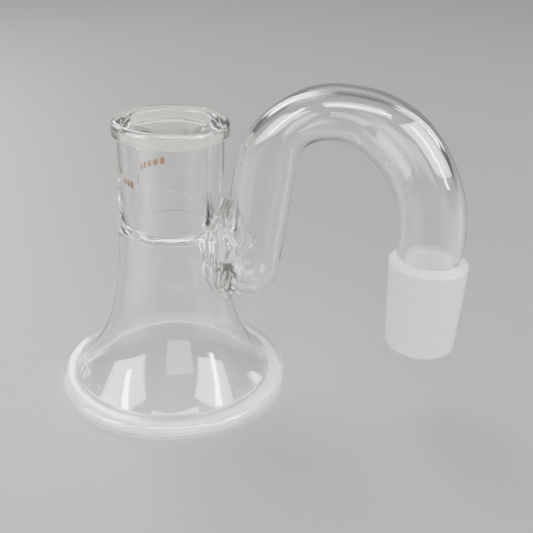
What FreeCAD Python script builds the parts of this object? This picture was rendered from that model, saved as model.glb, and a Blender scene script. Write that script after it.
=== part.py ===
import FreeCAD, Part
import math
import os

# A lampworked glass trap: a trumpet-shaped chamber with a socket for a neck, and a
# gooseneck tube that is welded to its side and ends in a ground cone.
# Millimetres. +Z is up, the chamber's axis is Z, and the origin is the middle of the
# flat underside. The gooseneck lies in the XZ plane, towards +X.

Vector = FreeCAD.Vector

# Ground joint size: widest diameter and length of the cone, and the standard 1:10 taper.
JOINT_D = 18.8
JOINT_LENGTH = 22.0
TAPER = 0.1

# Chamber: a neck tube that flares out as an exponential horn down to a rolled foot.
WALL = 2.0
NECK_R = 12.85
FLARE_R = 17.97
FLARE_DECAY = 11.2
PLATE_THICKNESS = 2.2
FOOT_R = 29.5
FOOT_ROLL_R = 1.7
FOOT_ROLL_SPAN = math.radians(68)
FOOT_TOP = 4.2
FLARE_POINTS = 9

# Socket neck: inner seal, tapered socket and rolled lip.
SEAL_BOTTOM = 42.0
SEAL_TOP = 44.6
SOCKET_TOP = 66.6
MOUTH_TOP = 70.7
SOCKET_FOOT_R = 12.95
SOCKET_HEAD_R = 12.88
SEAL_ARCH_R = 8.6
SEAL_ARCH_Z = 43.8
SEAL_HAUNCH_SHARE = 0.3
SEAL_HAUNCH_DROP = 0.55
SEAL_NOSE_OUT = 0.12
SEAL_NOSE_DROP = 0.1
LIP_R = 14.29
LIP_TOP_ROUND = 1.4
LIP_UNDER_ROUND = 1.15
MOUTH_ROUND = 0.5

# Gooseneck centreline: a leaning riser, a tight bend up to the top, a wide bend
# beyond it and a plumb leg down to the ground joint.
APEX_X = 39.8
APEX_Z = 75.45
TIGHT_BEND_R = 16.6
CROWN_BEND_R = 21.35
WIDE_BEND_R = 30.3
RISER_LEAN = math.radians(7)
CROWN_SPAN = math.radians(47)
RISER_END_Z = 35.0
DROP_END_Z = 42.3
TUBE_WALL = 1.8

# Half widths of the tube: across the bend plane it keeps its size, and in the bend
# plane it is drawn flat where it was bent hot.
RISER_R = 7.4
DROP_R = 7.85
BEND_HALF_WIDTH = 8.0
TIGHT_BEND_HALF = 6.15
TIGHT_MIDDLE_SHARE = 0.45
WIDE_BEND_HALF = 7.7
APEX_HALF = 6.5

# Port between chamber and riser: an oval passage in a short bridge of glass, and the
# ring of melted glass around it.
PORT_Z = 38.5
PORT_HALF_Y = 3.9
PORT_HALF_Z = 5.0
BRIDGE_HALF_Y = 6.2
BRIDGE_HALF_Z = 8.4
BEAD_HALF_Y = 9.4
BEAD_HALF_Z = 11.5

# Ground joint.
CONE_TOP_Z = 40.7
CONE_BORE_R = DROP_R - TUBE_WALL
CONE_EDGE_ROUND = 0.8
CONE_BORE_ROUND = 0.4

# Fired-on mark: rows of plain dots on the neck, each row as start angle, dots, height.
DOT_R = 1.0
DOT_STEP = math.radians(11)
DOT_DEPTH = 0.08
DOT_ROWS = ((math.radians(122), 5, 56.2), (math.radians(184), 3, 54.3))


def flare_radius(z):
    return NECK_R + FLARE_R * math.exp(-z / FLARE_DECAY)


def flare_slope(z):
    return -FLARE_R / FLARE_DECAY * math.exp(-z / FLARE_DECAY)


def inside_of_flare(z):
    """The point one wall thickness inside the flare, square to its surface at z."""
    slope = flare_slope(z)
    length = math.hypot(1.0, slope)
    return (flare_radius(z) - WALL / length, z + WALL * slope / length)


def inner_radius(z):
    """Inner radius of the chamber at height z, found by halving."""
    low, high = z, z + 2 * WALL
    for _ in range(50):
        middle = (low + high) / 2
        if inside_of_flare(middle)[1] < z:
            low = middle
        else:
            high = middle
    return inside_of_flare(low)[0]


def at(point):
    return Vector(point[0], 0, point[1])


def line(a, b):
    return Part.LineSegment(at(a), at(b)).toShape()


def arc(a, middle, b):
    return Part.Arc(at(a), at(middle), at(b)).toShape()


def curve(points, start=None, end=None):
    """A smooth curve through points, with optional directions at its two ends."""
    spline = Part.BSplineCurve()
    if start:
        spline.interpolate([at(p) for p in points], InitialTangent=at(start), FinalTangent=at(end))
    else:
        spline.interpolate([at(p) for p in points])
    return spline.toShape()


def on_circle(centre, radius, angle):
    return (centre[0] + radius * math.cos(angle), centre[1] + radius * math.sin(angle))


def turned(edges, x=0.0):
    """A solid of revolution about the upright line at x, from a closed outline beside Z."""
    face = Part.Face(Part.Wire(edges))
    solid = face.revolve(Vector(0, 0, 0), Vector(0, 0, 1), 360)
    solid.translate(Vector(x, 0, 0))
    return solid


def flare_heights(low, high, count):
    return [low + (high - low) * i / (count - 1) for i in range(count)]


def chamber_outer(low, high, count):
    return [(flare_radius(z), z) for z in flare_heights(low, high, count)]


def chamber_inner(low, high, count):
    return [(inner_radius(z), z) for z in flare_heights(low, high, count)]


def base_plate():
    radius = inner_radius(PLATE_THICKNESS)
    return Part.makeCylinder(radius, PLATE_THICKNESS)


def foot_ring():
    centre = (FOOT_R - FOOT_ROLL_R, FOOT_ROLL_R)
    bottom = on_circle(centre, FOOT_ROLL_R, -math.pi / 2)
    side = on_circle(centre, FOOT_ROLL_R, 0)
    crest = on_circle(centre, FOOT_ROLL_R, FOOT_ROLL_SPAN)
    leave = (-math.sin(FOOT_ROLL_SPAN), math.cos(FOOT_ROLL_SPAN))
    top = (flare_radius(FOOT_TOP), FOOT_TOP)
    slope = flare_slope(FOOT_TOP)
    reach = math.dist(crest, top)
    inner = chamber_inner(PLATE_THICKNESS, FOOT_TOP, 4)
    edges = [
        line((inner[0][0], 0), bottom),
        arc(bottom, side, crest),
        curve(
            [crest, top],
            (leave[0] * reach, leave[1] * reach),
            (slope / math.hypot(1, slope) * reach, reach / math.hypot(1, slope)),
        ),
        line(top, inner[-1]),
        curve(inner[::-1]),
        line(inner[0], (inner[0][0], 0)),
    ]
    return turned(edges)


def bell_body():
    outer = chamber_outer(FOOT_TOP, SEAL_BOTTOM, FLARE_POINTS)
    inner = chamber_inner(FOOT_TOP, SEAL_BOTTOM, FLARE_POINTS)
    edges = [
        curve(outer),
        line(outer[-1], inner[-1]),
        curve(inner[::-1]),
        line(inner[0], outer[0]),
    ]
    return turned(edges)


def socket_radius(z):
    return JOINT_D / 2 - TAPER / 2 * (MOUTH_TOP - z)


def socket_seal():
    inner_low = (inner_radius(SEAL_BOTTOM), SEAL_BOTTOM)
    arch_end = (SEAL_ARCH_R, SEAL_ARCH_Z)
    haunch_r = blend(inner_low[0], SEAL_ARCH_R, SEAL_HAUNCH_SHARE)
    haunch = (haunch_r, SEAL_ARCH_Z - SEAL_HAUNCH_DROP)
    throat = (socket_radius(SEAL_TOP), SEAL_TOP)
    nose = (throat[0] + SEAL_NOSE_OUT, (SEAL_ARCH_Z + SEAL_TOP) / 2 - SEAL_NOSE_DROP)
    edges = [
        arc(inner_low, haunch, arch_end),
        arc(arch_end, nose, throat),
        line(throat, (SOCKET_FOOT_R, SEAL_TOP)),
        line((SOCKET_FOOT_R, SEAL_TOP), (flare_radius(SEAL_BOTTOM), SEAL_BOTTOM)),
        line((flare_radius(SEAL_BOTTOM), SEAL_BOTTOM), inner_low),
    ]
    return turned(edges)


def socket_tube():
    corners = [
        (socket_radius(SEAL_TOP), SEAL_TOP),
        (SOCKET_FOOT_R, SEAL_TOP),
        (SOCKET_HEAD_R, SOCKET_TOP),
        (socket_radius(SOCKET_TOP), SOCKET_TOP),
    ]
    return turned([line(corners[i], corners[(i + 1) % 4]) for i in range(4)])


def rolled_lip():
    diagonal = math.sqrt(0.5)
    inner = (socket_radius(SOCKET_TOP), SOCKET_TOP)
    mouth_low = (socket_radius(MOUTH_TOP - MOUTH_ROUND), MOUTH_TOP - MOUTH_ROUND)
    mouth_top = (mouth_low[0] + MOUTH_ROUND, MOUTH_TOP)
    mouth_middle = (mouth_top[0] - diagonal * MOUTH_ROUND, mouth_low[1] + diagonal * MOUTH_ROUND)
    over = (LIP_R - LIP_TOP_ROUND, MOUTH_TOP - LIP_TOP_ROUND)
    under = (LIP_R - LIP_UNDER_ROUND, SOCKET_TOP + LIP_UNDER_ROUND)
    edges = [
        line(inner, mouth_low),
        arc(mouth_low, mouth_middle, mouth_top),
        line(mouth_top, (over[0], MOUTH_TOP)),
        arc((over[0], MOUTH_TOP), on_circle(over, LIP_TOP_ROUND, math.pi / 4), (LIP_R, over[1])),
        line((LIP_R, over[1]), (LIP_R, under[1])),
        arc(
            (LIP_R, under[1]),
            on_circle(under, LIP_UNDER_ROUND, -math.pi / 4),
            (under[0], SOCKET_TOP),
        ),
        line((under[0], SOCKET_TOP), inner),
    ]
    return turned(edges)


# A station of the gooseneck is its centre, the direction of the tube there as an angle
# from +X, and its half widths in the bend plane and across it.


def bend_station(centre, radius, angle, half, width):
    return (on_circle(centre, radius, angle), angle + math.pi / 2, half, width)


def ring(station, inset):
    """The tube's round or oval section at a station, drawn in by inset."""
    (x, z), heading, half, width = station
    centre = Vector(x, 0, z)
    side = Vector(0, width - inset, 0)
    crest = Vector(-math.sin(heading), 0, math.cos(heading)) * (half - inset)
    if side.Length - crest.Length < 1e-6:
        return Part.Wire(Part.Circle(centre + side, centre + crest, centre - side).toShape())
    return Part.Wire(Part.Ellipse(centre + side, centre + crest, centre).toShape())


def tube(stations):
    straight = len(stations) == 2
    outer = Part.makeLoft([ring(s, 0) for s in stations], True, straight)
    inner = Part.makeLoft([ring(s, TUBE_WALL) for s in stations], True, straight)
    return outer.cut(inner), outer


def blend(a, b, share):
    return a + (b - a) * share


def bend(centre, radius, first, last, half, width, count=6):
    """Stations round one bend; half and width are each a pair, at its two ends."""
    stations = []
    for i in range(count):
        share = i / (count - 1)
        eased = share * share * (3 - 2 * share)
        stations.append(
            bend_station(
                centre,
                radius,
                blend(first, last, share),
                blend(half[0], half[1], eased),
                blend(width[0], width[1], eased),
            )
        )
    return stations


def gooseneck_stations():
    """Stations of each stretch of the gooseneck, from the ground joint's end."""
    crown = (APEX_X, APEX_Z - CROWN_BEND_R)
    tight = (APEX_X, APEX_Z - TIGHT_BEND_R)
    top = math.pi / 2
    turn = top - CROWN_SPAN
    wide = on_circle(crown, CROWN_BEND_R - WIDE_BEND_R, turn)
    riser_top = math.pi - RISER_LEAN
    middle = blend(top, riser_top, TIGHT_MIDDLE_SHARE)
    wide_bend = bend(wide, WIDE_BEND_R, 0, turn, (DROP_R, WIDE_BEND_HALF), (DROP_R, BEND_HALF_WIDTH))
    same_width = (BEND_HALF_WIDTH, BEND_HALF_WIDTH)
    crown_bend = bend(crown, CROWN_BEND_R, turn, top, (WIDE_BEND_HALF, APEX_HALF), same_width)
    first = bend(tight, TIGHT_BEND_R, top, middle, (APEX_HALF, TIGHT_BEND_HALF), same_width, 5)
    second = bend(
        tight, TIGHT_BEND_R, middle, riser_top, (TIGHT_BEND_HALF, RISER_R), (BEND_HALF_WIDTH, RISER_R), 5
    )
    leg_top = wide_bend[0]
    leg_bottom = ((leg_top[0][0], DROP_END_Z), math.pi / 2, DROP_R, DROP_R)
    start = second[-1]
    drop = start[0][1] - RISER_END_Z
    riser_bottom = (
        (start[0][0] - drop * math.tan(RISER_LEAN), RISER_END_Z),
        start[1],
        RISER_R,
        RISER_R,
    )
    return {
        "gooseneck_drop_leg": [leg_bottom, leg_top],
        "gooseneck_wide_bend": wide_bend,
        "gooseneck_crown": crown_bend,
        "gooseneck_tight_bend": first + second[1:],
        "gooseneck_riser": [start, riser_bottom],
    }


def round_end(station):
    """The closed lower end: a half ball of the riser's section, hollow like it."""
    (x, z), heading, radius, _ = station
    centre = Vector(x, 0, z)
    along = Vector(math.cos(heading), 0, math.sin(heading))
    ball = Part.makeSphere(radius, centre)
    hollow = Part.makeSphere(radius - TUBE_WALL, centre)
    half_space = Part.makeCylinder(2 * radius, 2 * radius, centre, along)
    return ball.cut(hollow).common(half_space), ball.common(half_space)


def oval_rod(half_y, half_z, low_x, high_x):
    """A rod along +X with an oval section, at the port's height."""
    centre = Vector(low_x, 0, PORT_Z)
    tall = Part.Ellipse(centre + Vector(0, 0, half_z), centre + Vector(0, half_y, 0), centre)
    return Part.Face(Part.Wire(tall.toShape())).extrude(Vector(high_x - low_x, 0, 0))


def chamber_core():
    """Everything inside the chamber's outer surface, as one solid to cut away."""
    outer = chamber_outer(FOOT_TOP, SEAL_BOTTOM, FLARE_POINTS)
    neck = (SOCKET_FOOT_R, SEAL_TOP)
    top = (SOCKET_HEAD_R, SOCKET_TOP)
    edges = [
        curve(outer),
        line(outer[-1], neck),
        line(neck, top),
        line(top, (0, SOCKET_TOP)),
        line((0, SOCKET_TOP), (0, FOOT_TOP)),
        line((0, FOOT_TOP), outer[0]),
    ]
    return turned(edges)


def ground_cone(x):
    def cone_radius(z):
        return JOINT_D / 2 - TAPER / 2 * (CONE_TOP_Z - z)

    bottom = CONE_TOP_Z - JOINT_LENGTH
    edge_z = bottom + CONE_EDGE_ROUND
    centre = (cone_radius(edge_z) - CONE_EDGE_ROUND, edge_z)
    bore_centre = (CONE_BORE_R + CONE_BORE_ROUND, bottom + CONE_BORE_ROUND)
    edges = [
        line((CONE_BORE_R, CONE_TOP_Z), (JOINT_D / 2, CONE_TOP_Z)),
        line((JOINT_D / 2, CONE_TOP_Z), (cone_radius(edge_z), edge_z)),
        arc(
            (cone_radius(edge_z), edge_z),
            on_circle(centre, CONE_EDGE_ROUND, -math.pi / 4),
            (centre[0], bottom),
        ),
        line((centre[0], bottom), (bore_centre[0], bottom)),
        arc(
            (bore_centre[0], bottom),
            on_circle(bore_centre, CONE_BORE_ROUND, -3 * math.pi / 4),
            (CONE_BORE_R, bore_centre[1]),
        ),
        line((CONE_BORE_R, bore_centre[1]), (CONE_BORE_R, CONE_TOP_Z)),
    ]
    return turned(edges, x)


def joint_shoulder(x):
    corners = [
        (CONE_BORE_R, CONE_TOP_Z),
        (JOINT_D / 2, CONE_TOP_Z),
        (DROP_R, DROP_END_Z),
        (CONE_BORE_R, DROP_END_Z),
    ]
    return turned([line(corners[i], corners[(i + 1) % 4]) for i in range(4)], x)


def fired_mark():
    """Plain round dots, a thin fired layer on the neck's outer surface."""
    skin = turned(
        [
            line((SOCKET_FOOT_R, SEAL_TOP), (SOCKET_FOOT_R + DOT_DEPTH, SEAL_TOP)),
            line((SOCKET_FOOT_R + DOT_DEPTH, SEAL_TOP), (SOCKET_HEAD_R + DOT_DEPTH, SOCKET_TOP)),
            line((SOCKET_HEAD_R + DOT_DEPTH, SOCKET_TOP), (SOCKET_HEAD_R, SOCKET_TOP)),
            line((SOCKET_HEAD_R, SOCKET_TOP), (SOCKET_FOOT_R, SEAL_TOP)),
        ]
    )
    dots = []
    for start, count, z in DOT_ROWS:
        for i in range(count):
            angle = start + i * DOT_STEP
            outward = Vector(math.cos(angle), math.sin(angle), 0)
            punch = Part.makeCylinder(DOT_R, 2 * NECK_R, Vector(0, 0, z), outward)
            dots.append(skin.common(punch).Solids[0])
    return Part.makeCompound(dots)


def build():
    stretches = gooseneck_stations()
    tubes = {name: tube(stations) for name, stations in stretches.items()}
    riser, riser_outer = tubes["gooseneck_riser"]
    cup, cup_outer = round_end(stretches["gooseneck_riser"][-1])
    joint_x = stretches["gooseneck_drop_leg"][0][0][0]
    riser_x = stretches["gooseneck_riser"][-1][0][0]

    core = chamber_core()
    chamber_room = core.fuse(riser_outer).fuse(cup_outer)
    passage = oval_rod(PORT_HALF_Y, PORT_HALF_Z, 0, riser_x)
    bridge = oval_rod(BRIDGE_HALF_Y, BRIDGE_HALF_Z, 0, riser_x)
    bead = oval_rod(BEAD_HALF_Y, BEAD_HALF_Z, 0, riser_x - TUBE_WALL)

    parts = {
        "base_plate": base_plate(),
        "foot_ring": foot_ring(),
        "bell_wall": bell_body().cut(passage),
        "socket_seal": socket_seal(),
        "socket_tube": socket_tube(),
        "rolled_lip": rolled_lip(),
        "port_bridge": bridge.cut(passage).cut(chamber_room),
        "weld_bead": bead.cut(bridge).cut(chamber_room),
        "gooseneck_round_end": cup.cut(passage).cut(core),
        "gooseneck_riser": riser.cut(passage).cut(core),
        "gooseneck_tight_bend": tubes["gooseneck_tight_bend"][0],
        "gooseneck_crown": tubes["gooseneck_crown"][0],
        "gooseneck_wide_bend": tubes["gooseneck_wide_bend"][0],
        "gooseneck_drop_leg": tubes["gooseneck_drop_leg"][0],
        "joint_shoulder": joint_shoulder(joint_x),
        "ground_cone": ground_cone(joint_x),
        "fired_mark": fired_mark(),
    }
    return parts


os.makedirs("parts", exist_ok=True)
for name, shape in build().items():
    shape.exportStep("parts/" + name + ".step")
    box = shape.BoundBox
    print(
        name,
        len(shape.Solids),
        shape.isValid(),
        round(shape.Volume, 1),
        [round(v, 2) for v in (box.XMin, box.YMin, box.ZMin, box.XMax, box.YMax, box.ZMax)],
    )
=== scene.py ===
# %% [markdown]
# A clear glass trap on a pale table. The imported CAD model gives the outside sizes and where
# each piece is; this lesson rebuilds each piece as fine smooth glass in the same place. Lengths
# inside the helpers are in millimetres, because that is how glass is measured, and become
# metres only when a mesh is made.

# %% Load the frame
import math

import bmesh
import bpy
from mathutils import Matrix, Vector


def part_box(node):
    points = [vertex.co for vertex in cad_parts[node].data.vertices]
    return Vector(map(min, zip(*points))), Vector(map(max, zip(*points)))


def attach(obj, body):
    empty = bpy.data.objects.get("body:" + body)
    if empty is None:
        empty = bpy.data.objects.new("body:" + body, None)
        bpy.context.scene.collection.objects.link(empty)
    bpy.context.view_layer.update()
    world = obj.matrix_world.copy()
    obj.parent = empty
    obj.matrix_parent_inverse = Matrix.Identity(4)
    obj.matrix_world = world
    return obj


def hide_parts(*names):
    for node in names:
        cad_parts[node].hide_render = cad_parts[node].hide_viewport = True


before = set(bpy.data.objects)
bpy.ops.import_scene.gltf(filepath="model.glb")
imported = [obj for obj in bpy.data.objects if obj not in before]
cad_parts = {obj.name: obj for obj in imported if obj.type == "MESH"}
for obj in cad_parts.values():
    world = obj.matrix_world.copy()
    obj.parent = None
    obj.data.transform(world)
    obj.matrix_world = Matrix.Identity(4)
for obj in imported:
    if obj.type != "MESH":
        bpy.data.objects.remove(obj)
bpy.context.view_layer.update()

MM = 0.001


# %% [markdown]
# The outside sizes come from the frame's boxes: heights of the seams between pieces, the
# foot's and the lip's radius, and where the gooseneck's top and its plumb leg are.


# %% Sizes read from the frame
def node_box(node):
    """A CAD node's lowest and highest corner, in millimetres."""
    low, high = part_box(node)
    return [v / MM for v in low], [v / MM for v in high]


def top_and_radius(node):
    low, high = node_box(node)
    return high[2], high[0]


PLATE_TOP, PLATE_R = top_and_radius("base_plate")
FOOT_TOP, FOOT_R = top_and_radius("foot_ring")
SEAL_BOTTOM = top_and_radius("bell_wall")[0]
SEAL_TOP = top_and_radius("socket_seal")[0]
SOCKET_TOP, SOCKET_FOOT_R = top_and_radius("socket_tube")
MOUTH_TOP, LIP_R = top_and_radius("rolled_lip")
APEX_X = node_box("gooseneck_crown")[0][0]
ARCH_TOP = node_box("gooseneck_crown")[1][2]
DROP_LOW, DROP_HIGH = node_box("gooseneck_drop_leg")
DROP_X = (DROP_LOW[0] + DROP_HIGH[0]) / 2
DROP_R = (DROP_HIGH[0] - DROP_LOW[0]) / 2
CONE_LOW, CONE_HIGH = node_box("ground_cone")
RISER_R = node_box("gooseneck_riser")[1][1]
print("foot radius", round(FOOT_R, 2), "mouth height", round(MOUTH_TOP, 2), "arch", round(ARCH_TOP, 2))

# %% [markdown]
# A lampworker's materials are few. Clear borosilicate has an index of refraction of 1.474 and
# almost no colour, so the eye finds it only by its bright reflections and by the dark lines
# where a curved wall bends the view away. Ground glass is the same glass with a surface of
# fine pits, which scatter light and look white. One helper adds a shader node with its settings
# and links, and one turns a hex colour from sRGB to the linear values that shaders use.


# %% Shader helpers
def linear(hex_colour):
    channels = [int(hex_colour[i : i + 2], 16) / 255 for i in (1, 3, 5)]
    return [c / 12.92 if c <= 0.04045 else ((c + 0.055) / 1.055) ** 2.4 for c in channels] + [1.0]


def add(tree, kind, values=None, links=None, **settings):
    node = tree.nodes.new(kind)
    for key, value in settings.items():
        setattr(node, key, value)
    for key, value in (values or {}).items():
        node.inputs[key].default_value = value
    for key, output in (links or {}).items():
        tree.links.new(output, node.inputs[key])
    return node


def per_mm(size):
    """The texture scale whose features are size millimetres, on coordinates in metres."""
    return 1 / (size * MM)


def new_material(name, colour, roughness, ior, **extra):
    """A material and its Principled shader; extra gives the shader's other plain values."""
    material = bpy.data.materials.new(name)
    material.use_nodes = True
    shader = material.node_tree.nodes["Principled BSDF"]
    shader.inputs["Base Color"].default_value = linear(colour)
    shader.inputs["Roughness"].default_value = roughness
    shader.inputs["IOR"].default_value = ior
    for key, value in extra.items():
        shader.inputs[key.replace("_", " ").title()].default_value = value
    return material, material.node_tree, shader


# %% [markdown]
# Drawn and flame-worked borosilicate: glass tube is pulled hot, so it keeps faint draw lines
# along its length, and the flame leaves soft waves, deeper where the glass was heated again.
# Both could be modelled, but they are a few hundredths of a millimetre deep, so a bump is
# enough: the lines follow the UV map, which holds the way round and the way along each piece
# in metres, and the waves follow the piece itself. Handling marks change the roughness a
# little. Thick glass that was melted last holds fine bubbles and cords that scatter light, so
# the lip and the weld let a little less of it straight through, which makes them look creamy.

# %% Clear borosilicate
BOROSILICATE_IOR = 1.474
DRAW_LINE_MM = 1.6
DRAW_LENGTH_MM = 45
HANDLING_MM = 14


def flame_worked_glass(name, colour, line_height, wave_height, wave_mm, smudge, clearness=1.0):
    """Glass with draw lines and waves of these heights in millimetres, and faint smudges."""
    material, tree, shader = new_material(
        name, colour, 0.0, BOROSILICATE_IOR, transmission_weight=clearness
    )
    place = add(tree, "ShaderNodeTexCoord")
    stretch = add(
        tree,
        "ShaderNodeMapping",
        {"Scale": (per_mm(DRAW_LINE_MM), per_mm(DRAW_LENGTH_MM), 1.0)},
        {"Vector": place.outputs["UV"]},
    )
    lines = add(
        tree,
        "ShaderNodeTexNoise",
        {"Scale": 1.0, "Detail": 2.0, "Roughness": 0.45},
        {"Vector": stretch.outputs[0]},
    )
    waves = add(
        tree,
        "ShaderNodeTexNoise",
        {"Scale": per_mm(wave_mm), "Detail": 1.5, "Roughness": 0.4, "Distortion": 0.4},
        {"Vector": place.outputs["Object"]},
    )
    wave_bump = add(
        tree,
        "ShaderNodeBump",
        {"Strength": 1.0, "Distance": wave_height * MM},
        {"Height": waves.outputs["Fac"]},
    )
    line_bump = add(
        tree,
        "ShaderNodeBump",
        {"Strength": 1.0, "Distance": line_height * MM},
        {"Height": lines.outputs["Fac"], "Normal": wave_bump.outputs[0]},
    )
    marks = add(
        tree,
        "ShaderNodeTexNoise",
        {"Scale": per_mm(HANDLING_MM), "Detail": 6.0, "Roughness": 0.6},
        {"Vector": place.outputs["Object"]},
    )
    haze = add(
        tree,
        "ShaderNodeMapRange",
        {"From Min": 0.5, "From Max": 0.8, "To Min": 0.0, "To Max": smudge},
        {"Value": marks.outputs["Fac"]},
    )
    tree.links.new(line_bump.outputs[0], shader.inputs["Normal"])
    tree.links.new(haze.outputs[0], shader.inputs["Roughness"])
    return material


clear_borosilicate = flame_worked_glass(
    "clear borosilicate", "#FBFDFC", line_height=0.006, wave_height=0.05, wave_mm=9, smudge=0.05
)
reheated_borosilicate = flame_worked_glass(
    "reheated borosilicate", "#FBFDFC", line_height=0.01, wave_height=0.14, wave_mm=4.5, smudge=0.03
)
thick_borosilicate = flame_worked_glass(
    "fire-polished borosilicate",
    "#FCFBF3",
    line_height=0.0,
    wave_height=0.05,
    wave_mm=5,
    smudge=0.03,
    clearness=0.86,
)
molten_borosilicate = flame_worked_glass(
    "melted borosilicate seal",
    "#FFFDF8",
    line_height=0.0,
    wave_height=0.11,
    wave_mm=2.0,
    smudge=0.02,
    clearness=0.88,
)
print("flame-worked glass with an index of", BOROSILICATE_IOR)

# %% [markdown]
# A seal is where two pieces were melted into one, so nothing can be seen there. Each piece is
# closed by a face at its seal, and that face lets every ray through unbent, so two neighbours
# read as one body of glass.

# %% The unseen seal
sealed_face = bpy.data.materials.new("melted seal face")
sealed_face.use_nodes = True
sealed_face.node_tree.nodes.clear()
sealed_out = add(sealed_face.node_tree, "ShaderNodeOutputMaterial")
through = add(sealed_face.node_tree, "ShaderNodeBsdfTransparent")
sealed_face.node_tree.links.new(through.outputs[0], sealed_out.inputs["Surface"])
print("unseen seal:", sealed_face.name)

# %% [markdown]
# Ground borosilicate: the cone is lapped with carborundum grit of about a tenth of a
# millimetre. Light goes in, scatters in the pits and comes back white, and only a small part
# passes through, blurred. The foot's underside has stood on many tables, so it is scuffed:
# the same pits, but fewer, and more than half of the light still goes through. One function
# makes both. The grit is drawn a little coarser than it is, so that it shows.

# %% Ground borosilicate
GRIT_MM = 0.35
GRIND_BAND_MM = 2.2
PIT_DEPTH_MM = 0.06


def frosted_glass(name, dim, bright, roughness, clearness):
    """Glass with a pitted surface; clearness is the share of light that goes through."""
    material, tree, shader = new_material(
        name, bright, roughness, BOROSILICATE_IOR, transmission_weight=clearness
    )
    place = add(tree, "ShaderNodeTexCoord")
    grit = add(
        tree,
        "ShaderNodeTexNoise",
        {"Scale": per_mm(GRIT_MM), "Detail": 3.0, "Roughness": 0.7},
        {"Vector": place.outputs["Object"]},
    )
    bands = add(
        tree,
        "ShaderNodeTexNoise",
        {"Scale": per_mm(GRIND_BAND_MM), "Detail": 5.0, "Roughness": 0.7},
        {"Vector": place.outputs["Object"]},
    )
    frost = add(tree, "ShaderNodeValToRGB", {}, {"Fac": bands.outputs["Fac"]})
    frost.color_ramp.elements[0].position = 0.3
    frost.color_ramp.elements[0].color = linear(dim)
    frost.color_ramp.elements[1].position = 0.7
    frost.color_ramp.elements[1].color = linear(bright)
    pits = add(
        tree,
        "ShaderNodeBump",
        {"Strength": 0.6, "Distance": PIT_DEPTH_MM * MM},
        {"Height": grit.outputs["Fac"]},
    )
    tree.links.new(frost.outputs["Color"], shader.inputs["Base Color"])
    tree.links.new(pits.outputs[0], shader.inputs["Normal"])
    return material


ground_borosilicate = frosted_glass("ground borosilicate", "#F1F3F5", "#FFFFFF", 0.5, 0.12)
scuffed_borosilicate = frosted_glass("scuffed borosilicate", "#F2F3F1", "#FFFFFF", 0.3, 0.6)
print("ground glass with grit drawn at", GRIT_MM, "mm")

# %% [markdown]
# The fired mark is amber stain enamel, printed and then baked into the glass. It is thin and
# a little uneven, with a soft gloss.

# %% Amber enamel
ENAMEL_GRAIN_MM = 0.4

amber_enamel, tree, shader = new_material("fired amber enamel", "#7B4A1E", 0.35, 1.52)
place = add(tree, "ShaderNodeTexCoord")
grain = add(
    tree,
    "ShaderNodeTexNoise",
    {"Scale": per_mm(ENAMEL_GRAIN_MM), "Detail": 3.0},
    {"Vector": place.outputs["Object"]},
)
stain = add(tree, "ShaderNodeValToRGB", {}, {"Fac": grain.outputs["Fac"]})
stain.color_ramp.elements[0].position = 0.35
stain.color_ramp.elements[0].color = linear("#5E3413")
stain.color_ramp.elements[1].position = 0.68
stain.color_ramp.elements[1].color = linear("#A9712F")
tree.links.new(stain.outputs["Color"], shader.inputs["Base Color"])
print("enamel grain", ENAMEL_GRAIN_MM, "mm")

# %% [markdown]
# A piece is a closed mesh with up to four kinds of face: the worked outside, the bore inside,
# the unseen seal and the scuffed face that the foot stands on. The kind is the face's material
# slot. Smooth glass needs many small faces, because a facet bends the view by itself.
# Hand-blown glass is never quite round, so one smooth field of small shifts moves every
# vertex. Neighbours share the field, and their seal faces stay together.

# %% Mesh helpers
OUTSIDE, BORE, SEAL, STANDING = 0, 1, 2, 3
AROUND = 192
HAND_MM = 0.06
SWAY_MM = {"x": 6.1, "y": 5.3, "z": 7.7, "twist": 11.3}
SHARP_ANGLE = math.radians(40)


def hand_made(x, y, z):
    """A point moved a little towards the chamber's axis, as a hand would leave it."""
    sway = math.sin(x / SWAY_MM["x"] + 0.7) * math.sin(y / SWAY_MM["y"] + 1.9)
    sway += math.sin(z / SWAY_MM["z"] + x / SWAY_MM["twist"])
    pull = HAND_MM * (1 + 0.5 * sway) / max(1.0, math.hypot(x, y))
    return (x - x * pull, y - y * pull, z)


def make_piece(name, points, faces, kinds, uvs, materials):
    """A named piece from points in millimetres; uvs gives (round, along) at each point."""
    mesh = bpy.data.meshes.new(name)
    mesh.from_pydata([[c * MM for c in hand_made(*p)] for p in points], [], faces)
    mesh.polygons.foreach_set("material_index", kinds)
    layer = mesh.uv_layers.new(name="RoundAlong")
    for loop in mesh.loops:
        layer.data[loop.index].uv = [c * MM for c in uvs[loop.vertex_index]]
    for material in materials:
        mesh.materials.append(material)
    mesh.validate()
    shape = bmesh.new()
    shape.from_mesh(mesh)
    bmesh.ops.recalc_face_normals(shape, faces=shape.faces)
    open_edges = sum(not e.is_manifold for e in shape.edges)
    shape.to_mesh(mesh)
    shape.free()
    mesh.shade_smooth()
    mesh.set_sharp_from_angle(angle=SHARP_ANGLE)
    piece = bpy.data.objects.new(name + "_glass", mesh)
    bpy.context.scene.collection.objects.link(piece)
    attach(piece, "root")
    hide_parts(name)
    print(name, len(faces), "faces,", open_edges, "open edges")
    return piece


def arc_points(centre, radius, first, last, count):
    """Points round an arc, from angle first to angle last in degrees."""
    angles = [math.radians(first + (last - first) * i / (count - 1)) for i in range(count)]
    return [(centre[0] + radius * math.cos(a), centre[1] + radius * math.sin(a)) for a in angles]


def spaced(start, end, step):
    """Points along a straight line, about step millimetres apart, both ends included."""
    count = max(1, round(math.dist(start, end) / step))
    return [
        (start[0] + (end[0] - start[0]) * i / count, start[1] + (end[1] - start[1]) * i / count)
        for i in range(count + 1)
    ]


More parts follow.
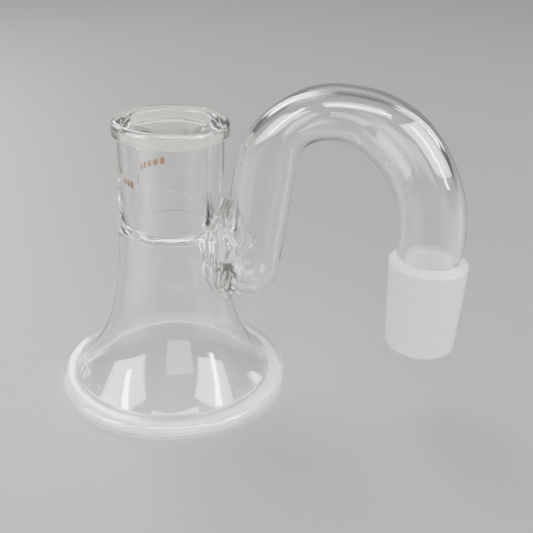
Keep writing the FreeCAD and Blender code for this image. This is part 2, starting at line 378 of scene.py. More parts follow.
# %% [markdown]
# Everything about the chamber is turned, like work on a glass lathe: an outline of radius and
# height is carried round the axis. The outline is a list of runs, each with the kind of its
# faces, and the last run closes it. A point on the axis becomes one vertex.


# %% Turning an outline
def lathe(name, runs, materials, centre_x=0.0):
    """A turned piece from runs of (radius, height) points, each run with its kind of face."""
    outline, run_kinds = [], []
    for run, kind in runs:
        for point in run[:-1]:
            outline.append(point)
            run_kinds.append(kind)
    points, uvs, rings = [], [], []
    along = 0.0
    for i, (radius, z) in enumerate(outline):
        along += math.dist(outline[i - 1], outline[i]) if i else 0.0
        count = AROUND if radius > 1e-6 else 1
        rings.append([len(points) + k for k in range(count)])
        for k in range(count):
            angle = 2 * math.pi * k / AROUND
            points.append((centre_x + radius * math.cos(angle), radius * math.sin(angle), z))
            uvs.append((abs(angle - math.pi) * max(radius, 1), along))
    faces, kinds = [], []
    for i, kind in enumerate(run_kinds):
        low, high = rings[i], rings[(i + 1) % len(rings)]
        if len(low) == 1 and len(high) == 1:
            continue
        for k in range(AROUND):
            corners = [low[k % len(low)], low[(k + 1) % len(low)]]
            corners += [high[(k + 1) % len(high)], high[k % len(high)]]
            faces.append(list(dict.fromkeys(corners)))
            kinds.append(kind)
    return make_piece(name, points, faces, kinds, uvs, materials)


clear_set = [clear_borosilicate, clear_borosilicate, sealed_face]
reheated_set = [reheated_borosilicate, reheated_borosilicate, sealed_face]
foot_set = [clear_borosilicate, clear_borosilicate, sealed_face, scuffed_borosilicate]
thick_set = [thick_borosilicate, thick_borosilicate, sealed_face]
molten_set = [molten_borosilicate, molten_borosilicate, sealed_face]

# %% [markdown]
# The chamber wall is a horn: the neck's radius plus a flare that dies away with height. Its
# inside is one wall thickness further in, measured square to the surface. The same two
# functions give the outline of every piece of the chamber, so the pieces meet exactly.

# %% The flare
NECK_R = 12.85
FLARE_DECAY = 11.2
FLARE_R = (top_and_radius("bell_wall")[1] - NECK_R) * math.exp(FOOT_TOP / FLARE_DECAY)
WALL = 2.0
SOCKET_HEAD_R = 12.88
SOCKET_TAPER = 0.05
MOUTH_R = 9.4


def flare_radius(z):
    return NECK_R + FLARE_R * math.exp(-z / FLARE_DECAY)


def inner_flare(z):
    """The point one wall thickness inside the flare, square to its surface at z."""
    slope = -FLARE_R / FLARE_DECAY * math.exp(-z / FLARE_DECAY)
    length = math.hypot(1.0, slope)
    return flare_radius(z) - WALL / length, z + WALL * slope / length


def inner_radius(z):
    low, high = z, z + 2 * WALL
    for _ in range(40):
        middle = (low + high) / 2
        low, high = (middle, high) if inner_flare(middle)[1] < z else (low, middle)
    return inner_flare(low)[0]


def socket_radius(z):
    return MOUTH_R - SOCKET_TAPER * (MOUTH_TOP - z)


def outer_radius(z):
    """The chamber's and the neck's outer radius at any height above the foot."""
    if z <= SEAL_BOTTOM:
        return flare_radius(z)
    if z <= SEAL_TOP:
        share = (z - SEAL_BOTTOM) / (SEAL_TOP - SEAL_BOTTOM)
        return flare_radius(SEAL_BOTTOM) + share * (SOCKET_FOOT_R - flare_radius(SEAL_BOTTOM))
    share = (z - SEAL_TOP) / (SOCKET_TOP - SEAL_TOP)
    return SOCKET_FOOT_R + share * (SOCKET_HEAD_R - SOCKET_FOOT_R)


def heights(low, high, step=0.5):
    return [z for z, _ in spaced((low, 0), (high, 0), step)]


print("flare radius at the seal", round(flare_radius(SEAL_BOTTOM), 2))

# %% [markdown]
# The base plate is a flat disc melted into the foot. A disc primitive has no thickness, so it
# is turned like the rest, from its underside, round its seal and back over its top.

# %% Base plate
floor_rim = (PLATE_R, PLATE_TOP)
lathe(
    "base_plate",
    [
        (spaced((0, 0), (PLATE_R, 0), 1.0), OUTSIDE),
        (spaced((PLATE_R, 0), floor_rim, 0.5), SEAL),
        (spaced(floor_rim, (0, PLATE_TOP), 1.0), BORE),
        ([(0, PLATE_TOP), (0, 0)], BORE),
    ],
    clear_set,
)

# %% [markdown]
# The foot is the chamber's edge, rolled over in the flame into a thick round rim. Its outline
# is the roll, a round arc, and a soft saddle from the roll up to the flare. A Hermite curve
# makes the saddle, because it leaves and arrives along chosen directions, so there is no
# crease. The underside is the scuffed face that stands on the table.

# %% Rolled foot
FOOT_ROLL_R = 1.7
FOOT_ROLL_SPAN = 68


def hermite(start, leave, end, arrive, count):
    """A smooth run from start to end that leaves and arrives along the given directions."""
    ends = (start, leave, end, arrive)
    run = []
    for i in range(count):
        t = i / (count - 1)
        weights = (2 * t**3 - 3 * t**2 + 1, t**3 - 2 * t**2 + t, 3 * t**2 - 2 * t**3, t**3 - t**2)
        run.append(tuple(sum(w * p[axis] for w, p in zip(weights, ends)) for axis in (0, 1)))
    return run


roll_centre = (FOOT_R - FOOT_ROLL_R, FOOT_ROLL_R)
roll = arc_points(roll_centre, FOOT_ROLL_R, -90, FOOT_ROLL_SPAN, 28)
flare_foot = (flare_radius(FOOT_TOP), FOOT_TOP)
reach = math.dist(roll[-1], flare_foot)
crest_angle = math.radians(FOOT_ROLL_SPAN)
steepness = -FLARE_R / FLARE_DECAY * math.exp(-FOOT_TOP / FLARE_DECAY)
span = math.hypot(1, steepness)
foot_saddle = hermite(
    roll[-1],
    (-math.sin(crest_angle) * reach, math.cos(crest_angle) * reach),
    flare_foot,
    (steepness / span * reach, reach / span),
    14,
)
chamber_corner = [(inner_radius(z), z) for z in heights(FOOT_TOP, PLATE_TOP, 0.2)]
lathe(
    "foot_ring",
    [
        (spaced((PLATE_R, 0), roll[0], 0.5), STANDING),
        (roll, OUTSIDE),
        (foot_saddle, OUTSIDE),
        (spaced(flare_foot, chamber_corner[0], 0.5), SEAL),
        (chamber_corner, BORE),
        (spaced(chamber_corner[-1], (PLATE_R, 0), 0.5), SEAL),
    ],
    foot_set,
)

# %% [markdown]
# The bell wall is the blown part of the chamber. Its outline is the run outside, the seal
# above, the run inside and the seal below.

# %% Bell wall
bell_outside = [(flare_radius(z), z) for z in heights(FOOT_TOP, SEAL_BOTTOM)]
bell_bore = [(inner_radius(z), z) for z in heights(SEAL_BOTTOM, FOOT_TOP)]
bell = lathe(
    "bell_wall",
    [
        (bell_outside, OUTSIDE),
        (spaced(bell_outside[-1], bell_bore[0], 0.5), SEAL),
        (bell_bore, BORE),
        (spaced(bell_bore[-1], bell_outside[0], 0.5), SEAL),
    ],
    clear_set,
)

# %% [markdown]
# The socket is a thick tube whose bore narrows downwards, sealed onto the chamber. Where the
# two were melted together the glass thickens into a soft step inside, an arch and then a nose,
# both Hermite curves. That step shows as a bright ring at the foot of the neck.

# %% Socket seal and socket
STEP_CREST = (8.6, 43.8)
STEP_RISE = (0, 2.6)
STEP_REACH = (-3.2, 0)
NOSE_REACH = (-0.6, 0)
NOSE_RISE = (0, 1.0)

step_foot = (inner_radius(SEAL_BOTTOM), SEAL_BOTTOM)
step_arch = hermite(step_foot, STEP_RISE, STEP_CREST, STEP_REACH, 16)
throat = (socket_radius(SEAL_TOP), SEAL_TOP)
step_nose = hermite(STEP_CREST, NOSE_REACH, throat, NOSE_RISE, 10)
seal_side = [(outer_radius(z), z) for z in heights(SEAL_TOP, SEAL_BOTTOM, 0.3)]
seal_ring = lathe(
    "socket_seal",
    [
        (step_arch, BORE),
        (step_nose, BORE),
        (spaced(throat, seal_side[0], 0.5), SEAL),
        (seal_side, OUTSIDE),
        (spaced(seal_side[-1], step_foot, 0.5), SEAL),
    ],
    clear_set,
)

socket_side = [(outer_radius(z), z) for z in heights(SEAL_TOP, SOCKET_TOP)]
socket_bore = [(socket_radius(z), z) for z in heights(SOCKET_TOP, SEAL_TOP)]
socket = lathe(
    "socket_tube",
    [
        (socket_side, OUTSIDE),
        (spaced(socket_side[-1], socket_bore[0], 0.5), SEAL),
        (socket_bore, BORE),
        (spaced(socket_bore[-1], socket_side[0], 0.5), SEAL),
    ],
    clear_set,
)

# %% [markdown]
# The lip is the socket's mouth, folded outwards and fire-polished until it is round. Three arcs
# and short straight runs give its outline: the mouth's edge, the shoulder over it and the
# tighter turn under it. It is thick, so it gets the creamier glass.

# %% Rolled lip
LIP_OVER_R = 1.4
LIP_UNDER_R = 1.15
MOUTH_EDGE_R = 0.5

mouth_z = MOUTH_TOP - MOUTH_EDGE_R
mouth_r = socket_radius(mouth_z)
over_centre = (LIP_R - LIP_OVER_R, MOUTH_TOP - LIP_OVER_R)
under_centre = (LIP_R - LIP_UNDER_R, SOCKET_TOP + LIP_UNDER_R)
mouth_edge = arc_points((mouth_r + MOUTH_EDGE_R, mouth_z), MOUTH_EDGE_R, 180, 90, 10)
over = arc_points(over_centre, LIP_OVER_R, 90, 0, 18)
under = arc_points(under_centre, LIP_UNDER_R, 0, -90, 18)
lathe(
    "rolled_lip",
    [
        (spaced((socket_radius(SOCKET_TOP), SOCKET_TOP), mouth_edge[0], 0.4), BORE),
        (mouth_edge, OUTSIDE),
        (spaced(mouth_edge[-1], over[0], 0.4), OUTSIDE),
        (over, OUTSIDE),
        (spaced(over[-1], under[0], 0.4), OUTSIDE),
        (under, OUTSIDE),
        (spaced(under[-1], socket_side[-1], 0.3), OUTSIDE),
        (spaced(socket_side[-1], (socket_radius(SOCKET_TOP), SOCKET_TOP), 0.4), SEAL),
    ],
    thick_set,
)

# %% [markdown]
# The gooseneck is one tube, bent hot over a flame. Its centreline is straight runs and round
# arcs. A hot bend flattens the tube in the bend's plane and thins the wall on the outside of
# the bend, so each station holds a centre, a heading, the half width in the plane and across
# it, and how far the bore has drifted outwards. A ring of points at each station is joined to
# the next, outside and bore alike.

# %% Gooseneck stations
APEX_HALF = 6.5
TIGHT_BEND_R = 16.6
CROWN_BEND_R = 21.35
WIDE_BEND_R = 30.3
RISER_LEAN = 7
CROWN_SPAN = 47
TUBE_WALL = 1.8
BEND_HALF_WIDTH = 8.0
TIGHT_BEND_HALF = 6.15
WIDE_BEND_HALF = 7.7
BORE_DRIFT = 0.3
STATION_STEP = 0.6
RISER_END_Z = 35.0
TIGHT_MIDDLE_SHARE = 0.45


def station(x, z, heading, half, width, drift=0.0):
    return {"x": x, "z": z, "heading": heading, "half": half, "width": width, "drift": drift}


def blend(a, b, share):
    return a + (b - a) * share


def bend(centre, radius, first, last, half, width, drift):
    """Stations round one bend, from angle first to last in degrees."""
    count = max(3, round(math.radians(abs(last - first)) * radius / STATION_STEP))
    stations = []
    for i in range(count + 1):
        share = i / count
        eased = share * share * (3 - 2 * share)
        angle = math.radians(blend(first, last, share))
        x, z = centre[0] + radius * math.cos(angle), centre[1] + radius * math.sin(angle)
        halves = blend(half[0], half[1], eased), blend(width[0], width[1], eased)
        stations.append(station(x, z, angle + math.pi / 2, *halves, blend(drift[0], drift[1], eased)))
    return stations


def straight(a, b):
    count = max(2, round(math.dist((a["x"], a["z"]), (b["x"], b["z"])) / STATION_STEP))
    return [{key: blend(a[key], b[key], i / count) for key in a} for i in range(count + 1)]


apex_z = ARCH_TOP - APEX_HALF
crown_centre = (APEX_X, apex_z - CROWN_BEND_R)
tight_centre = (APEX_X, apex_z - TIGHT_BEND_R)
turn = 90 - CROWN_SPAN
gap = WIDE_BEND_R - CROWN_BEND_R
wide_centre = (
    crown_centre[0] - gap * math.cos(math.radians(turn)),
    crown_centre[1] - gap * math.sin(math.radians(turn)),
)
tight_middle = 90 + TIGHT_MIDDLE_SHARE * (90 - RISER_LEAN)
wide_bend = bend(
    wide_centre,
    WIDE_BEND_R,
    0,
    turn,
    (DROP_R, WIDE_BEND_HALF),
    (DROP_R, BEND_HALF_WIDTH),
    (0, BORE_DRIFT),
)
crown = bend(
    crown_centre,
    CROWN_BEND_R,
    turn,
    90,
    (WIDE_BEND_HALF, APEX_HALF),
    (BEND_HALF_WIDTH,) * 2,
    (BORE_DRIFT,) * 2,
)
tight_bend = bend(
    tight_centre,
    TIGHT_BEND_R,
    90,
    tight_middle,
    (APEX_HALF, TIGHT_BEND_HALF),
    (BEND_HALF_WIDTH,) * 2,
    (BORE_DRIFT,) * 2,
)
tight_bend += bend(
    tight_centre,
    TIGHT_BEND_R,
    tight_middle,
    180 - RISER_LEAN,
    (TIGHT_BEND_HALF, RISER_R),
    (BEND_HALF_WIDTH, RISER_R),
    (BORE_DRIFT, 0),
)[1:]
leg_top = wide_bend[0]
leg_bottom = dict(leg_top, z=DROP_LOW[2], heading=math.pi / 2)
riser_top = tight_bend[-1]
riser_fall = riser_top["z"] - RISER_END_Z
riser_foot = dict(riser_top, z=RISER_END_Z)
riser_foot["x"] -= riser_fall * math.tan(math.radians(RISER_LEAN))
print("wide bend starts at x", round(leg_top["x"], 2), "riser foot at x", round(riser_foot["x"], 2))

# %% [markdown]
# The riser leans against the chamber, and where they touch the soft tube was pressed flat onto
# the wall. So a point of the riser that would be inside the chamber's outer surface is moved
# out to it.


# %% Pressed flat on the chamber
PRESSED_MM = 0.04


def chamber_face(y, z):
    """How far out the chamber's outer surface is at a place on its +X side."""
    return math.sqrt(max(outer_radius(z) ** 2 - y * y, 0))


def press_on_chamber(point):
    x, y, z = point
    if FOOT_TOP < z < SOCKET_TOP and abs(y) < RISER_R:
        return (max(x, chamber_face(y, z) + PRESSED_MM), y, z)
    return point


# %% [markdown]
# Sweeping puts one oval ring at every station and joins it to the next. A curve with a bevel
# would sweep too, but only with one round section and no bore, so the rings are made here.


# %% Sweeping a tube
def ring(s, inset):
    """One oval ring of points round a station, drawn in by inset."""
    across = Vector((0, 1, 0))
    outward = Vector((-math.sin(s["heading"]), 0, math.cos(s["heading"]))) * -1
    centre = Vector((s["x"], 0, s["z"])) + outward * (s["drift"] if inset else 0)
    points = []
    for k in range(AROUND):
        angle = 2 * math.pi * k / AROUND
        spread = across * (s["width"] - inset) * math.cos(angle)
        spread += outward * (s["half"] - inset) * math.sin(angle)
        points.append(press_on_chamber(tuple(centre + spread)))
    return points


def sweep(name, stations, materials, closed_end=False):
    """A tube with a bore along its stations; a closed end is rounded off and has no opening."""
    points, uvs, faces, kinds, shells = [], [], [], [], []
    for inset in (0, TUBE_WALL):
        shell, along = [], 0.0
        path = stations + (round_off(stations[-1], inset) if closed_end else [])
        for i, s in enumerate(path):
            along += math.dist((s["x"], s["z"]), (path[i - 1]["x"], path[i - 1]["z"])) if i else 0
            shell.append(list(range(len(points), len(points) + AROUND)))
            points += ring(s, inset)
            around = [abs(2 * math.pi * k / AROUND - math.pi) * s["half"] for k in range(AROUND)]
            uvs += [(a, along) for a in around]
        shells.append(shell)
        for low, high in zip(shell, shell[1:]):
            for k in range(AROUND):
                n = (k + 1) % AROUND
                faces.append([low[k], low[n], high[n], high[k]])
                kinds.append(BORE if inset else OUTSIDE)
        if closed_end:
            faces.append(shell[-1])
            kinds.append(BORE if inset else OUTSIDE)
    for end in (0,) if closed_end else (0, -1):
        for k in range(AROUND):
            n = (k + 1) % AROUND
            faces.append([shells[0][end][k], shells[0][end][n], shells[1][end][n], shells[1][end][k]])
            kinds.append(SEAL)
    return make_piece(name, points, faces, kinds, uvs, materials)


def round_off(s, inset, steps=34):
    """Stations that shrink to a half ball below a station, for the shell at this inset."""
    radius = s["half"] - inset
    run = []
    for i in range(1, steps):
        angle = math.pi / 2 * i / steps
        shrunk = radius * math.cos(angle) + inset
        sink = radius * math.sin(angle)
        run.append(
            dict(
                s,
                x=s["x"] + sink * math.cos(s["heading"]),
                z=s["z"] + sink * math.sin(s["heading"]),
                half=shrunk,
                width=shrunk,
            )
        )
    return run


riser = sweep("gooseneck_riser", straight(riser_top, riser_foot), reheated_set)
round_end = sweep("gooseneck_round_end", [riser_foot], reheated_set, True)
sweep("gooseneck_tight_bend", tight_bend, clear_set)
sweep("gooseneck_crown", crown, clear_set)
sweep("gooseneck_wide_bend", wide_bend, clear_set)
sweep("gooseneck_drop_leg", straight(leg_top, leg_bottom), clear_set)

# %% [markdown]
# The ground cone is a standard joint: a hollow cone that narrows by a tenth of a millimetre in
# every millimetre of length, lapped on the outside only. Its bore stays clear, so looking down the
# tube shows a pale disc. A bevelled shoulder seals it to the tube.

# %% Ground cone and its shoulder
CONE_BORE_R = DROP_R - TUBE_WALL
CONE_EDGE_R = 0.8
BORE_EDGE_R = 0.4
CONE_R = (CONE_HIGH[0] - CONE_LOW[0]) / 2
CONE_TOP, CONE_END = CONE_HIGH[2], CONE_LOW[2]
SHOULDER_RISE = (-0.1, 0.9)
SHOULDER_REACH = (-1.6, 1.6)
ground_set = [ground_borosilicate, clear_borosilicate, sealed_face]


def cone_radius(z):
    return CONE_R - SOCKET_TAPER * (CONE_TOP - z)


cone_edge_z = CONE_END + CONE_EDGE_R
cone_edge = arc_points((cone_radius(cone_edge_z) - CONE_EDGE_R, cone_edge_z), CONE_EDGE_R, 0, -90, 12)
bore_edge = arc_points((CONE_BORE_R + BORE_EDGE_R, CONE_END + BORE_EDGE_R), BORE_EDGE_R, -90, -180, 8)
lathe(
    "ground_cone",
    [
        (spaced((CONE_BORE_R, CONE_TOP), (CONE_R, CONE_TOP), 0.5), SEAL),
        (spaced((CONE_R, CONE_TOP), cone_edge[0], 0.5), OUTSIDE),
        (cone_edge, OUTSIDE),
        (spaced(cone_edge[-1], bore_edge[0], 0.3), OUTSIDE),
        (bore_edge, OUTSIDE),
        (spaced(bore_edge[-1], (CONE_BORE_R, CONE_TOP), 0.6), BORE),
    ],
    ground_set,
    DROP_X,
)
tube_foot = (DROP_R, DROP_LOW[2])
shoulder_side = hermite((CONE_R, CONE_TOP), SHOULDER_RISE, tube_foot, SHOULDER_REACH, 12)
lathe(
    "joint_shoulder",
    [
        (shoulder_side, OUTSIDE),
        (spaced(tube_foot, (CONE_BORE_R, DROP_LOW[2]), 0.5), SEAL),
        (spaced((CONE_BORE_R, DROP_LOW[2]), (CONE_BORE_R, CONE_TOP), 0.4), BORE),
        (spaced((CONE_BORE_R, CONE_TOP), (CONE_R, CONE_TOP), 0.5), SEAL),
    ],
    ground_set,
    DROP_X,
)

# %% [markdown]
# The weld is what catches the eye. The glassblower opens a port in both walls, joins them with
# a short oval bridge and melts a rod of glass round it, and the melt freezes in wrinkles.
# Sculpting by hand would give them too, but a script can't repeat it, so they are formulas:
# long ridges that run round the port like the ribs of a gourd, and short facets across them,
# strongest at the top. First come the sizes and those two formulas.

# %% The wrinkles of the weld
PORT_Z = 38.5
PORT_HALF = (3.9, 5.0)
BRIDGE_HALF = (6.2, 8.4)
BEAD_ON_CHAMBER = (9.3, 11.4)
BEAD_ON_RISER = (7.15, 10.6)
BEAD_BULGE = 1.5
RIDGE_COUNT = 3.5
RIDGE_MM = 0.48
FACET_MM = 0.4
ROUND_WELD = 360
ACROSS_WELD = 40
PORT_RIPPLE = 0.05
RIDGE_WANDER = ((0.9, 2, 0.6), (0.5, 5, 1.9))
EDGE_WANDER = ((0.035, 5, 1.1), (0.025, 9, 2.3))


def wander(angle, waves):
    """A sum of waves round the port, each with its height, its count and its start."""
    return sum(height * math.sin(count * angle + start) for height, count, start in waves)


def oval(half, angle, share=1.0):
    return half[0] * share * math.cos(angle), PORT_Z + half[1] * share * math.sin(angle)


def ridges(angle, t):
    """Long ridges round the port; t runs from the chamber's side to the riser's."""
    wave = math.cos(2 * math.pi * RIDGE_COUNT * t + wander(angle, RIDGE_WANDER))
    return wave * math.sin(math.pi * t) ** 0.6 * (1 + 0.25 * math.sin(3 * angle + 1.2))


def facets(angle, t):
    """Short crossing folds, strongest at the top, where the seal was worked last."""
    crossing = math.sin(11 * angle + 7 * t) + 0.8 * math.sin(17 * angle - 9 * t + 2.0)
    return crossing * math.sin(math.pi * t) * (0.25 + 0.75 * max(0, math.sin(angle)))


print("ridges across the weld:", RIDGE_COUNT, "of", RIDGE_MM, "mm")

# %% [markdown]
# Both pieces of the weld are rings round the port. For each angle a cross-section runs out over
# the chamber's surface, along the weld's own outside, back over the riser's surface and home
# along the inside. So the riser's surface has to be known at any place, like the chamber's.

# %% Cross-sections of the weld
lean = math.radians(RISER_LEAN)


def riser_face(y, z):
    """Where the riser's outer surface starts, going out from the chamber along +X."""
    rise = z - riser_foot["z"]
    flat = math.sqrt(max(RISER_R**2 - y * y, 0))
    x = riser_foot["x"] + (rise * math.sin(lean) - flat) / math.cos(lean)
    below = (x - riser_foot["x"]) * math.sin(lean) + rise * math.cos(lean) < 0
    if below:
        x = riser_foot["x"] - math.sqrt(max(RISER_R**2 - y * y - rise * rise, 0))
    return max(x, chamber_face(y, z) + PRESSED_MM)


def between(low, high, count):
    return [low + (high - low) * i / count for i in range(count)]


def bead_section(angle):
    """One cross-section of the weld bead: points and the kind of the face that leaves each."""
    reach = 1 + wander(angle, EDGE_WANDER)
    bridge = oval(BRIDGE_HALF, angle)
    y0, z0 = oval(BEAD_ON_CHAMBER, angle, reach)
    y1, z1 = oval(BEAD_ON_RISER, angle, reach)
    section = []
    for t in between(0, 1, 6):
        y, z = [blend(a, b, t) for a, b in zip(bridge, (y0, z0))]
        section.append(((chamber_face(y, z), y, z), SEAL))
    start, end = Vector((chamber_face(y0, z0), y0, z0)), Vector((riser_face(y1, z1), y1, z1))
    outward = Vector((0, math.cos(angle), math.sin(angle)))
    for t in between(0, 1, ACROSS_WELD):
        swell = BEAD_BULGE * math.sin(math.pi * t) ** 0.7
        swell += RIDGE_MM * ridges(angle, t) + FACET_MM * facets(angle, t)
        section.append((tuple(start.lerp(end, t) + outward * swell), OUTSIDE))
    for t in between(0, 1, 5):
        y, z = [blend(a, b, t) for a, b in zip((y1, z1), bridge)]
        section.append(((riser_face(y, z), y, z), SEAL))
    y, z = bridge
    for t in between(0, 1, 3):
        section.append(((blend(riser_face(y, z), chamber_face(y, z), t), y, z), SEAL))
    return section


def bridge_section(angle):
    """One cross-section of the port's bridge, with a slightly rippled bore."""
    section = []
    inner, outer = oval(PORT_HALF, angle), oval(BRIDGE_HALF, angle)
    for t in between(0, 1, 6):
        y, z = [blend(a, b, t) for a, b in zip(inner, outer)]
        section.append(((chamber_face(y, z), y, z), SEAL))
    for t in between(0, 1, 3):
        section.append(((blend(chamber_face(*outer), riser_face(*outer), t), *outer), SEAL))
    for t in between(0, 1, 6):
        y, z = [blend(b, a, t) for a, b in zip(inner, outer)]
        section.append(((riser_face(y, z), y, z), SEAL))
    for t in between(0, 1, 8):
        ripple = 1 - PORT_RIPPLE * math.sin(math.pi * t) * (1 + math.sin(7 * angle + 3 * t))
        y, z = oval(PORT_HALF, angle, ripple)
        section.append(((blend(riser_face(*inner), chamber_face(*inner), t), y, z), BORE))
    return section


def ring_of(name, section_at):
    """A closed ring round the port, from the cross-section that section_at gives at each angle."""
    points, uvs, faces, kinds = [], [], [], []
    sections = [section_at(2 * math.pi * k / ROUND_WELD) for k in range(ROUND_WELD)]
    size = len(sections[0])
    for k, section in enumerate(sections):
        points += [point for point, _ in section]
        uvs += [(k * 0.15, i * 0.3) for i in range(size)]
    for k, section in enumerate(sections):
        n = (k + 1) % ROUND_WELD
        for i, (_, kind) in enumerate(section):
            j = (i + 1) % size
            faces.append([k * size + i, n * size + i, n * size + j, k * size + j])
            kinds.append(kind)
    return make_piece(name, points, faces, kinds, uvs, molten_set)


ring_of("weld_bead", bead_section)
ring_of("port_bridge", bridge_section)

# %% [markdown]
# The port is drilled through the chamber wall and the riser with a Boolean and an oval rod. Then
# the outside faces that the weld covers become unseen seals too, because the glass there is
# one body.


# %% Drill the port and hide the covered faces
ROD_START_X = 6
ROD_PAST_RISER = 0.6


def port_rod():
    """An oval rod from inside the chamber to just past the middle of the riser."""
    sides = 120
    points, faces = [], []
    for x in (ROD_START_X, riser_foot["x"] + ROD_PAST_RISER):
        points += [(x, *oval(PORT_HALF, 2 * math.pi * k / sides)) for k in range(sides)]
    for k in range(sides):
        n = (k + 1) % sides
        faces.append([k, n, sides + n, sides + k])
    faces += [list(range(sides)), list(range(sides, 2 * sides))]
    mesh = bpy.data.meshes.new("port_rod")
    mesh.from_pydata([[c * MM for c in p] for p in points], [], faces)
    for material in clear_set:
        mesh.materials.append(material)
    mesh.polygons.foreach_set("material_index", [BORE] * len(faces))
    shape = bmesh.new()
    shape.from_mesh(mesh)
    bmesh.ops.recalc_face_normals(shape, faces=shape.faces)
    shape.to_mesh(mesh)
    shape.free()
    rod = bpy.data.objects.new("port_rod", mesh)
    bpy.context.scene.collection.objects.link(rod)
    return rod


def drill(piece, rod):
    """Cut the port; the Boolean may drop repeated materials, so each slot is set again after it."""
    materials = list(piece.data.materials)
    cut = piece.modifiers.new("port", "BOOLEAN")
    cut.operation = "DIFFERENCE"
    cut.object = rod
    cut.solver = "MANIFOLD"
    graph = bpy.context.evaluated_depsgraph_get()
    drilled = bpy.data.meshes.new_from_object(piece.evaluated_get(graph))
    piece.modifiers.clear()
    before = len(piece.data.polygons)
    piece.data = drilled
    for i, material in enumerate(materials):
        drilled.materials[i] = material
    drilled.shade_smooth()
    drilled.set_sharp_from_angle(angle=SHARP_ANGLE)
    print(piece.name, before, "faces before,", len(drilled.polygons), "after the port")


def hide_covered(piece, half, on_riser):
    """Make outside faces under the weld's oval footprint unseen seals."""
    covered = 0
    for face in piece.data.polygons:
        x, y, z = face.center / MM
        if face.material_index != OUTSIDE or x <= 0:
            continue
        across, up = y / half[0], (z - PORT_Z) / half[1]
        limit = 1 + wander(math.atan2(up, across), EDGE_WANDER)
        facing = face.normal.x < 0 if on_riser else face.normal.x > 0
        if facing and math.hypot(across, up) < limit:
            face.material_index = SEAL
            covered += 1
    print(piece.name, covered, "faces under the weld")


rod = port_rod()
for piece in (bell, riser, round_end):
    drill(piece, rod)
bpy.data.objects.remove(rod)
for piece in (bell, seal_ring, socket):
    hide_covered(piece, BEAD_ON_CHAMBER, False)
for piece in (riser, round_end):
    hide_covered(piece, BEAD_ON_RISER, True)

# %% [markdown]
# The fired mark is two rows of plain round dots on the neck. Each is a shallow dome of enamel
# that lies on the glass. A row is its first dot's angle, how many dots it has and its height,
# and a dome is a few rings, each with its share of the radius and of the rise.

# %% Fired mark
DOT_R = 1.0
DOT_RISE = 0.08
DOT_STEP = 11
DOT_ROWS = ((122, 5, 56.2), (184, 3, 54.3))
DOT_SIDES = 32
DOME = ((0, 0.02), (1.0, 0.02), (0.97, 0.5), (0.85, 0.85), (0.5, 1.0), (0, 1.0))


def dot_points(start, z):
    """Rings of a dome, from the middle of its underside out to its rim and up to its top."""
    rings = []
    for share, lift in DOME:
        count = DOT_SIDES if share else 1
        ring_points = []
        for k in range(count):
            turn_by = 2 * math.pi * k / count
            height = z + DOT_R * share * math.sin(turn_by)
            radius = outer_radius(height) + DOT_RISE * lift
            angle = math.radians(start) + DOT_R * share * math.cos(turn_by) / radius
            ring_points.append((radius * math.cos(angle), radius * math.sin(angle), height))
        rings.append(ring_points)
    return rings


points, faces, uvs = [], [], []
for start, count, z in DOT_ROWS:
    for i in range(count):
        rings = []
        for ring_points in dot_points(start + DOT_STEP * i, z):
            rings.append(list(range(len(points), len(points) + len(ring_points))))
            points += ring_points
            uvs += [(0, 0)] * len(ring_points)
        for low, high in zip(rings, rings[1:]):
            for k in range(DOT_SIDES):
                corners = [low[k % len(low)], low[(k + 1) % len(low)]]
                corners += [high[(k + 1) % len(high)], high[k % len(high)]]
                faces.append(list(dict.fromkeys(corners)))
make_piece("fired_mark", points, faces, [0] * len(faces), uvs, [amber_enamel])

# %% [markdown]
# The table is a plain pale laminate, pressed from paper and resin, with a fine matt speckle
# that keeps it from looking like a flat colour. It lies a hair below the base, so that the two
# surfaces aren't one.

# %% Table
TABLE_GAP_MM = 0.05
TABLE_SIZE = 6.0
SPECKLE_MM = 1.5

bpy.ops.mesh.primitive_plane_add(size=TABLE_SIZE, location=(0, 0, -TABLE_GAP_MM * MM))
table = bpy.context.object
table.name = "table"
pale_laminate, tree, shader = new_material("pale matt laminate", "#C0C0BD", 0.55, 1.5)
place = add(tree, "ShaderNodeTexCoord")
speckle = add(
    tree,
    "ShaderNodeTexNoise",
    {"Scale": per_mm(SPECKLE_MM), "Detail": 5.0, "Roughness": 0.6},
    {"Vector": place.outputs["Object"]},
)
tint = add(tree, "ShaderNodeValToRGB", {}, {"Fac": speckle.outputs["Fac"]})
tint.color_ramp.elements[0].color = linear("#BCBCB9")
tint.color_ramp.elements[1].color = linear("#C6C6C3")
tree.links.new(tint.outputs["Color"], shader.inputs["Base Color"])
table.data.materials.append(pale_laminate)
print("table", TABLE_SIZE, "m wide")

# %% [markdown]
# Glass is lit by what it reflects and bends. Glass blocks the straight light of a lamp from the
# table under it, so most of the table's light comes from a bright dome, which glass lets
# through. The dome fades to a dark band at the horizon, and that band gives the glass its dark
# edge lines.

# %% Dome of light
HORIZON = (0.09, 0.09, 0.095, 1)
OVERHEAD = (0.62, 0.62, 0.62, 1)
OVERHEAD_FROM = 0.55

dome = bpy.data.worlds.new("studio")
bpy.context.scene.world = dome
dome.use_nodes = True
tree = dome.node_tree
place = add(tree, "ShaderNodeTexCoord")
up = add(tree, "ShaderNodeSeparateXYZ", {}, {"Vector": place.outputs["Generated"]})
fade = add(tree, "ShaderNodeValToRGB", {}, {"Fac": up.outputs["Z"]})
fade.color_ramp.interpolation = "EASE"
fade.color_ramp.elements[0].color = HORIZON
fade.color_ramp.elements[1].position = OVERHEAD_FROM
fade.color_ramp.elements[1].color = OVERHEAD
tree.links.new(fade.outputs["Color"], tree.nodes["Background"].inputs["Color"])
print("dome from", HORIZON[0], "at the horizon to", OVERHEAD[0], "overhead")

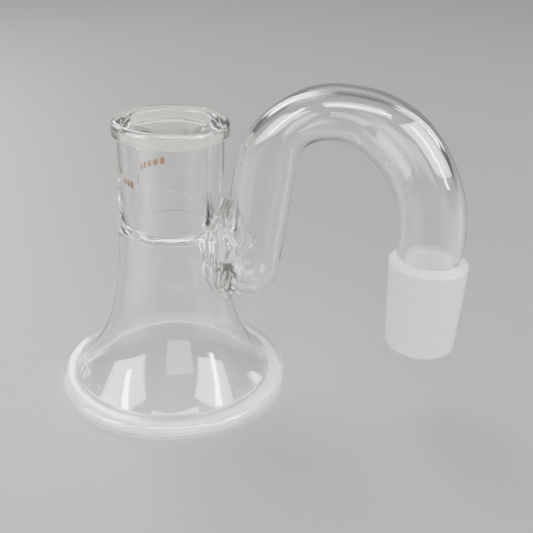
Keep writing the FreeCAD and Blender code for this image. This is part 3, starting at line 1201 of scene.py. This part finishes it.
# %% [markdown]
# Clear glass sends back only about 4 percent of the light that meets it head on, so a highlight
# needs a lamp far brighter than the table could stand. Three broad panels, a narrow bright tube
# in front of each, and two strips behind therefore only shine in the glass: diffuse surfaces
# don't see them. A weak key from behind and a low fill from the front light the table and the
# white cone. A lamp's power comes from its radiance and its area.

# %% Softboxes
AIM = (0.02, 0, 0.03)
PANEL = 20
TUBE = 110
STRIP = 22
KEY = 3.5
FILL = 5.0


def softbox(name, place, size, radiance, only_shine=True):
    """A rectangular light of a given radiance; one that only shines leaves the table alone."""
    light = bpy.data.lights.new(name, "AREA")
    light.shape = "RECTANGLE"
    light.size, light.size_y = size
    light.energy = radiance * math.pi * size[0] * size[1]
    lamp = bpy.data.objects.new(name, light)
    lamp.location = place
    lamp.rotation_euler = (Vector(AIM) - Vector(place)).to_track_quat("-Z", "Y").to_euler()
    lamp.visible_camera = False
    lamp.visible_diffuse = not only_shine
    bpy.context.scene.collection.objects.link(lamp)


softbox("key", (-0.35, 0.35, 0.75), (0.5, 0.5), KEY, only_shine=False)
softbox("left_panel", (-0.44, -0.34, 0.30), (0.52, 0.42), PANEL)
softbox("front_panel", (0.09, -0.25, 0.58), (0.46, 0.22), PANEL)
softbox("right_panel", (0.56, -0.09, 0.34), (0.62, 0.42), PANEL)
softbox("back_strip_left", (-0.32, 0.42, 0.42), (0.10, 0.50), STRIP)
softbox("back_strip_right", (0.46, 0.40, 0.42), (0.12, 0.50), STRIP)
softbox("left_tube", (-0.30, -0.26, 0.30), (0.05, 0.34), TUBE)
softbox("front_tube", (0.10, -0.22, 0.50), (0.40, 0.03), TUBE)
softbox("right_tube", (0.44, -0.10, 0.24), (0.05, 0.34), TUBE)
softbox("fill", (0.30, -0.62, 0.17), (0.50, 0.30), FILL, only_shine=False)
print("lamps:", len(bpy.data.lights))

# %% [markdown]
# The camera stands a little above the glass and to the right of its front, with a slight roll,
# as when a hand holds it. The shift only moves the frame.

# %% Camera
FOCAL_MM = 53.3
CAMERA_AT_MM = (56.6, -174.2, 121.5)
CAMERA_TURN = 10.864
CAMERA_TILT_DOWN = 22.566
CAMERA_ROLL = 1.836
CAMERA_SHIFT = (0.006, -0.0919)

camera_data = bpy.data.cameras.new("camera")
camera_data.lens = FOCAL_MM
camera_data.sensor_width = 36
camera_data.shift_x, camera_data.shift_y = CAMERA_SHIFT
camera_data.clip_start = 0.01
camera = bpy.data.objects.new("camera", camera_data)
camera.location = [c * MM for c in CAMERA_AT_MM]
turned = Matrix.Rotation(math.radians(CAMERA_TURN), 3, "Z")
tilted = Matrix.Rotation(math.radians(90 - CAMERA_TILT_DOWN), 3, "X")
rolled = Matrix.Rotation(math.radians(CAMERA_ROLL), 3, "Z")
camera.rotation_euler = (turned @ tilted @ rolled).to_euler()
bpy.context.scene.collection.objects.link(camera)
bpy.context.scene.camera = camera
print("camera lens", FOCAL_MM, "mm, tilted down", CAMERA_TILT_DOWN, "degrees")
